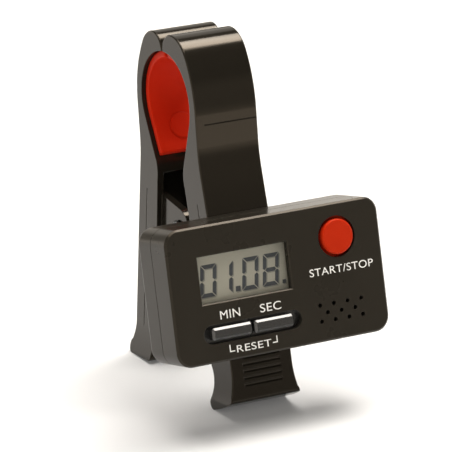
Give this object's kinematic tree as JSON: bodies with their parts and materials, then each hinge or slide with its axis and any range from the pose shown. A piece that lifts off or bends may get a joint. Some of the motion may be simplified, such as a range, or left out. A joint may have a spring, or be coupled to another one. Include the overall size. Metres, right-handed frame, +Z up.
{
  "type": "clip_on_timer",
  "caption": "Clip-on digital countdown timer: a slim timer case with display window, keys and sounder, screwed to a spring clamp with soft-lined jaws and handles that double as feet",
  "frame": {"origin": "centre of the bounding box's foot: the floor plane under the clamp's two feet", "axes": "+Z up, -Y out of the display's side, +X to the right as the display is read"},
  "size_m": [0.066, 0.073, 0.1007],
  "materials": {
    "case_plastic": "dark olive-black moulded plastic, satin front and fine-grained sides",
    "lever_plastic": "black moulded plastic, half gloss",
    "grip_rubber": "red-orange soft rubber, matte",
    "button_rubber": "red-orange, satin",
    "key_plastic": "black, satin with bright bevels",
    "pin_steel": "bright zinc-plated steel",
    "spring_steel": "drawn spring wire",
    "window_clear": "clear acrylic, polished",
    "lcd_glass": "beige-grey display glass with dark segments",
    "reflector_foil": "satin foil",
    "dome_rubber": "translucent grey silicone rubber",
    "board_resin": "green solder-masked board",
    "epoxy_black": "black potting resin",
    "can_metal": "bright drawn can",
    "chip_ceramic": "ceramic",
    "sounder_brass": "rolled brass sheet",
    "gasket_foam": "closed-cell foam",
    "cell_steel": "nickel-plated steel",
    "screw_steel": "plated steel"
  },
  "bodies": {
    "timer_and_front_lever": {"front_lever": "lever_plastic", "front_pad": "grip_rubber", "pivot_pin": "pin_steel", "pin_ring": "spring_steel", "torsion_spring": "spring_steel", "front_case": "case_plastic", "rear_case": "case_plastic", "display_window": "window_clear", "lcd_panel": "lcd_glass", "lcd_reflector": "reflector_foil", "zebra_strip": "gasket_foam", "start_stop_dome": "dome_rubber", "minute_dome": "dome_rubber", "second_dome": "dome_rubber", "circuit_board": "board_resin", "chip_blob": "epoxy_black", "quartz_crystal": "can_metal", "capacitor": "can_metal", "resistors": "chip_ceramic", "sounder_plate": "sounder_brass", "sounder_disc": "chip_ceramic", "sounder_gasket": "gasket_foam", "button_cell": "cell_steel", "negative_contact": "spring_steel", "positive_contact": "spring_steel", "case_screws": "screw_steel", "board_screws": "screw_steel", "mounting_screws": "screw_steel"},
    "rear_jaw": {"rear_lever": "lever_plastic", "rear_pad": "grip_rubber"},
    "start_stop_key_body": {"start_stop_key": "button_rubber"},
    "minute_key_body": {"minute_key": "key_plastic"},
    "second_key_body": {"second_key": "key_plastic"},
    "battery_door_body": {"battery_door": "case_plastic"}
  },
  "joints": [
    {"name": "jaw_hinge", "type": "hinge", "parent": "timer_and_front_lever", "child": "rear_jaw", "pos_m": [0, 0.01077, 0.04462], "axis": [-1, 0, 0], "range_deg": [0, 30], "stiffness_Nm_per_rad": 0.3, "springref_deg": -57.3, "deforming": ["torsion_spring"]},
    {"name": "start_stop_press", "type": "slide", "parent": "timer_and_front_lever", "child": "start_stop_key_body", "axis": [0, 0.9689, -0.2475], "range_m": [0, 0.0006], "stiffness_N_per_m": 800, "springref_m": -0.0005},
    {"name": "minute_press", "type": "slide", "parent": "timer_and_front_lever", "child": "minute_key_body", "axis": [0, 0.9689, -0.2475], "range_m": [0, 0.0005], "stiffness_N_per_m": 800, "springref_m": -0.0005},
    {"name": "second_press", "type": "slide", "parent": "timer_and_front_lever", "child": "second_key_body", "axis": [0, 0.9689, -0.2475], "range_m": [0, 0.0005], "stiffness_N_per_m": 800, "springref_m": -0.0005},
    {"name": "battery_door_slide", "type": "slide", "parent": "timer_and_front_lever", "child": "battery_door_body", "axis": [1, 0, 0], "range_m": [0, 0.02]}
  ]
}
